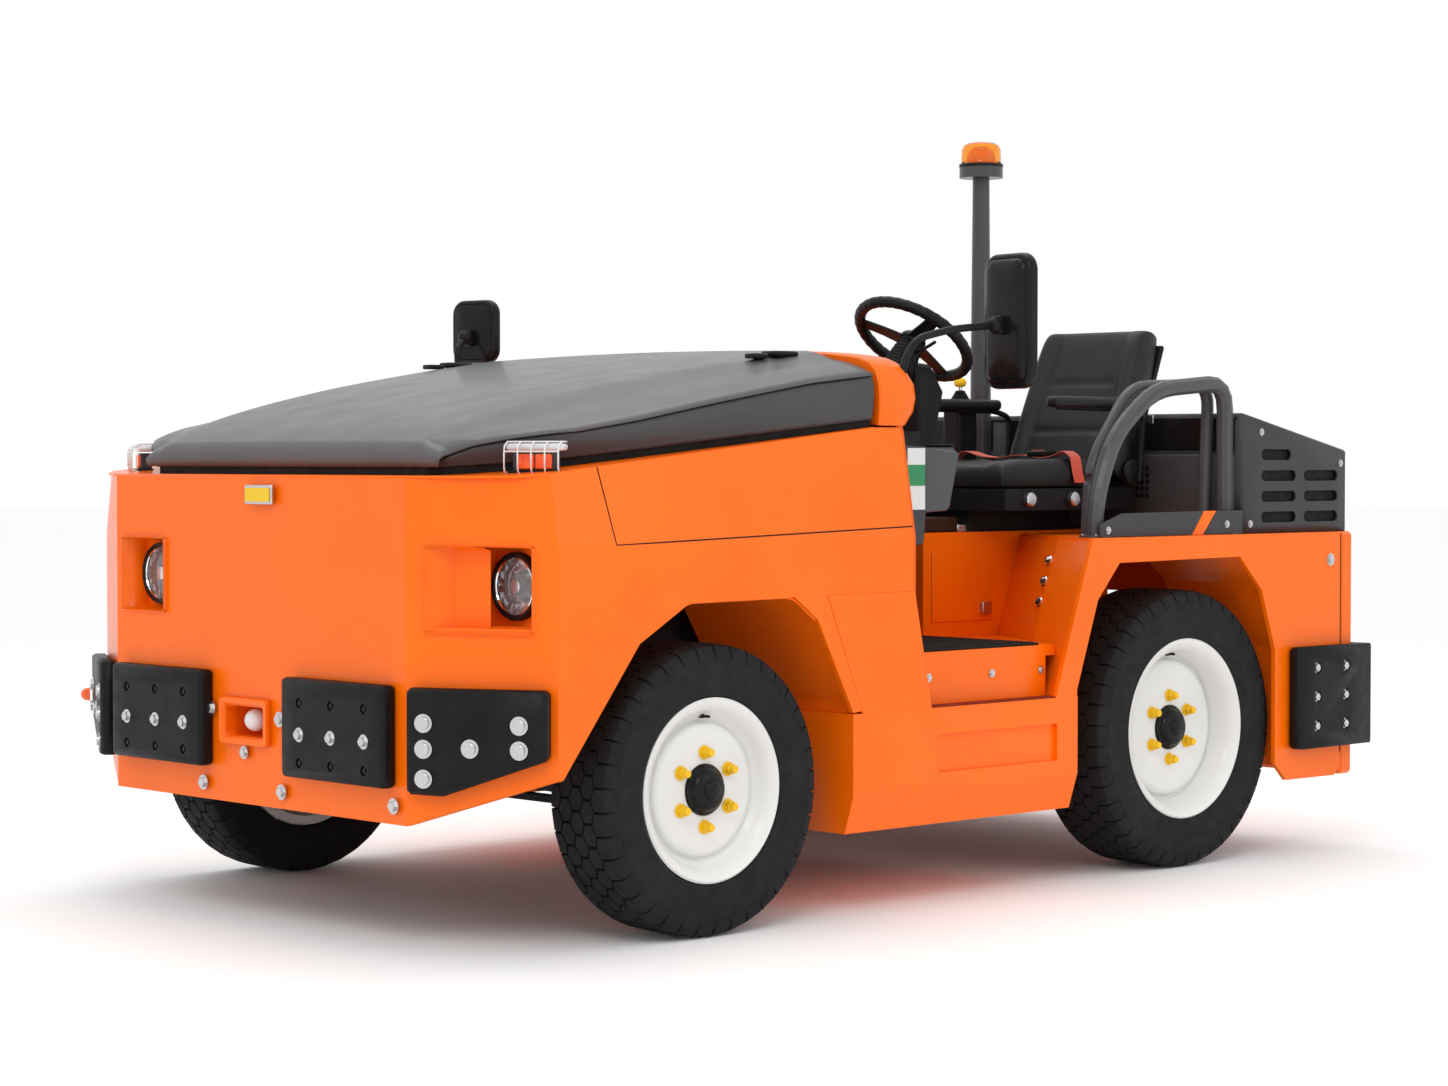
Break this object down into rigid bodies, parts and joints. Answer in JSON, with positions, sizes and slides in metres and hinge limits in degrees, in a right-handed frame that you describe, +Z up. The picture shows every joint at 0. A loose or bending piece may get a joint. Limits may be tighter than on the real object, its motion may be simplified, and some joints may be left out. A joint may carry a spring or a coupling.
{
  "type": "airport baggage tug",
  "caption": "Low four-wheeled towing tractor with an open cab, front-hinged hood, thick bumper pads, rear handrails, a beacon pole and a pin hitch.",
  "frame": {"origin": "on the ground, under the middle of the vehicle's box", "axes": "+Z up, -Y to the vehicle's front, +X to the driver's left"},
  "size_m": [2.09, 3.56, 2.2383],
  "materials": {
    "tyre": "matt black rubber",
    "white_paint": "gloss white paint",
    "pad_rubber": "matt black",
    "lamp_glass": "clear",
    "amber_plastic": "clear amber",
    "grey_paint": "satin dark grey",
    "black_plastic": "satin black",
    "seat_vinyl": "black vinyl",
    "steel": "bright steel",
    "dark_tube": "satin dark grey",
    "dark_iron": "dark",
    "orange_paint": "gloss orange paint"
  },
  "bodies": {
    "chassis": {"beacon_lens": "amber_plastic", "beacon_pole": "dark_tube", "bumper_corner_L": "pad_rubber", "bumper_corner_R": "pad_rubber", "bumper_front_L": "pad_rubber", "bumper_front_R": "pad_rubber", "bumper_rear_L": "pad_rubber", "bumper_rear_R": "pad_rubber", "cab_floor": "orange_paint", "chassis_frame": "dark_iron", "cowl_hoop": "orange_paint", "dash_console": "grey_paint", "engine_block": "dark_iron", "fender_L": "orange_paint", "fender_R": "orange_paint", "firewall": "orange_paint", "front_axle": "dark_iron", "handrail_L": "dark_tube", "handrail_R": "dark_tube", "headlamp_L": "lamp_glass", "headlamp_R": "lamp_glass", "lever_console": "black_plastic", "mirror_L": "black_plastic", "mirror_R": "black_plastic", "nose_body": "orange_paint", "quarter_panel_L": "orange_paint", "quarter_panel_R": "orange_paint", "rear_axle": "dark_iron", "rear_box": "grey_paint", "rear_hitch": "dark_iron", "rear_plate": "orange_paint", "seat_back": "seat_vinyl", "seat_base": "black_plastic", "seat_cushion": "seat_vinyl", "seat_pedestal": "orange_paint", "steering_column": "black_plastic", "step_box_L": "orange_paint", "step_box_R": "orange_paint", "turn_lamp_L": "amber_plastic", "turn_lamp_R": "amber_plastic"},
    "knuckle_left": {"knuckle_L": "dark_iron"},
    "knuckle_right": {"knuckle_R": "dark_iron"},
    "wheel_front_left": {"rim_FL": "white_paint", "tyre_FL": "tyre"},
    "wheel_front_right": {"rim_FR": "white_paint", "tyre_FR": "tyre"},
    "wheel_rear_left": {"rim_RL": "white_paint", "tyre_RL": "tyre"},
    "wheel_rear_right": {"rim_RR": "white_paint", "tyre_RR": "tyre"},
    "track_rod": {"tie_rod": "steel"},
    "hood_shell": {"hood": "grey_paint"},
    "steering_hand_wheel": {"steering_wheel": "black_plastic"},
    "tow_pin": {"hitch_pin": "steel"}
  },
  "joints": [
    {"name": "steer_left", "type": "hinge", "parent": "chassis", "child": "knuckle_left", "pos_m": [0.72, -1.005, 0.375], "axis": [0, 0, 1], "range_deg": [-35, 35]},
    {"name": "steer_right", "type": "hinge", "parent": "chassis", "child": "knuckle_right", "pos_m": [-0.72, -1.005, 0.375], "axis": [0, 0, 1], "range_deg": [-35, 35]},
    {"name": "track_rod_pivot", "type": "hinge", "parent": "knuckle_left", "child": "track_rod", "pos_m": [0.72, -0.885, 0.285], "axis": [0, 0, 1], "range_deg": [-35, 35]},
    {"name": "steering_wheel_turn", "type": "hinge", "parent": "chassis", "child": "steering_hand_wheel", "pos_m": [0.4, 0.353, 1.573], "axis": [0, 0.6088, 0.7934], "range_deg": [-420, 420]},
    {"name": "spin_front_left", "type": "hinge", "parent": "knuckle_left", "child": "wheel_front_left", "pos_m": [0.869, -1.005, 0.375], "axis": [1, 0, 0], "continuous": true},
    {"name": "spin_front_right", "type": "hinge", "parent": "knuckle_right", "child": "wheel_front_right", "pos_m": [-0.869, -1.005, 0.375], "axis": [1, 0, 0], "continuous": true},
    {"name": "spin_rear_left", "type": "hinge", "parent": "chassis", "child": "wheel_rear_left", "pos_m": [0.84, 0.951, 0.4146], "axis": [1, 0, 0], "continuous": true},
    {"name": "spin_rear_right", "type": "hinge", "parent": "chassis", "child": "wheel_rear_right", "pos_m": [-0.84, 0.951, 0.4146], "axis": [1, 0, 0], "continuous": true},
    {"name": "hood_hinge", "type": "hinge", "parent": "chassis", "child": "hood_shell", "pos_m": [0, -1.7, 1.178], "axis": [1, 0, 0], "range_deg": [0, 65]},
    {"name": "tow_pin_lift", "type": "slide", "parent": "chassis", "child": "tow_pin", "axis": [0, 0, 1], "range_m": [0, 0.15]}
  ],
  "couplings": [
    {"joint": "steer_right", "follows": "steer_left", "ratio": 1},
    {"joint": "track_rod_pivot", "follows": "steer_left", "ratio": -1},
    {"joint": "steering_wheel_turn", "follows": "steer_left", "ratio": 12}
  ]
}
